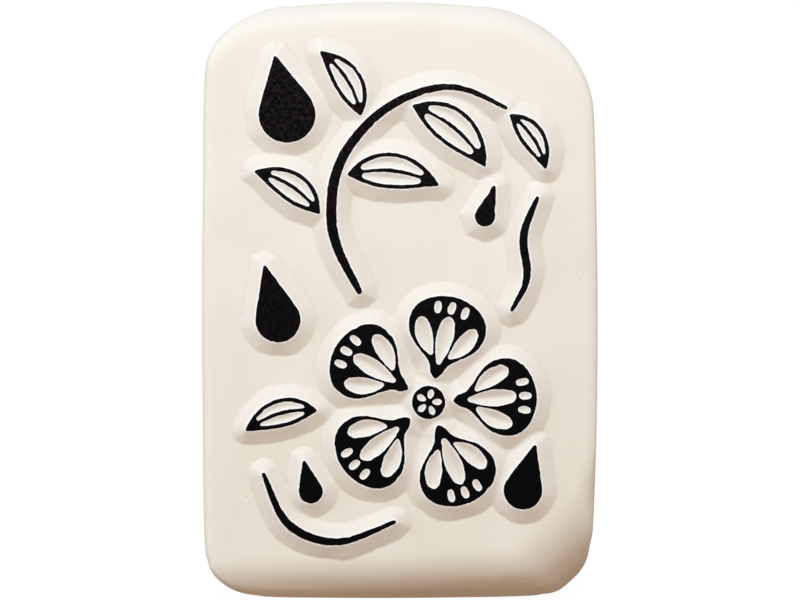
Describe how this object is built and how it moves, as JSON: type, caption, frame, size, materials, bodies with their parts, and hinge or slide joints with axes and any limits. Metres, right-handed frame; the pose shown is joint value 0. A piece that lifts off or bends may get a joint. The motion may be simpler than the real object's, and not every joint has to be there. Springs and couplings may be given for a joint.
{
  "type": "temporary tattoo stamp",
  "caption": "Hand-sized cast ceramic block with rounded edges; a blossom and leafy branch stand raised on its face, each land coated with black ink for printing on skin.",
  "frame": {"origin": "middle of the flat back, which the block lies on", "axes": "+Z out of the printing face, +Y to the top of the design, +X to its right as it is looked at"},
  "size_m": [0.0596, 0.09, 0.0162],
  "materials": {
    "cast_ceramic": "unglazed fine-grained cast ceramic, matte warm white, slightly porous",
    "black_ink": "dried black stamping ink, matte with a faint grain"
  },
  "bodies": {
    "root": {"ceramic_block": "cast_ceramic", "branch_ink": "black_ink", "drop_1_ink": "black_ink", "drop_2_ink": "black_ink", "drop_3_ink": "black_ink", "drop_4_ink": "black_ink", "drop_5_ink": "black_ink", "flower_heart_ink": "black_ink", "leaf_1_ink": "black_ink", "leaf_2_ink": "black_ink", "leaf_3_ink": "black_ink", "leaf_4_ink": "black_ink", "leaf_5_ink": "black_ink", "leaf_6_ink": "black_ink", "petal_1_ink": "black_ink", "petal_2_ink": "black_ink", "petal_3_ink": "black_ink", "petal_4_ink": "black_ink", "petal_5_ink": "black_ink", "tendril_1_ink": "black_ink", "tendril_2_ink": "black_ink"}
  },
  "joints": []
}
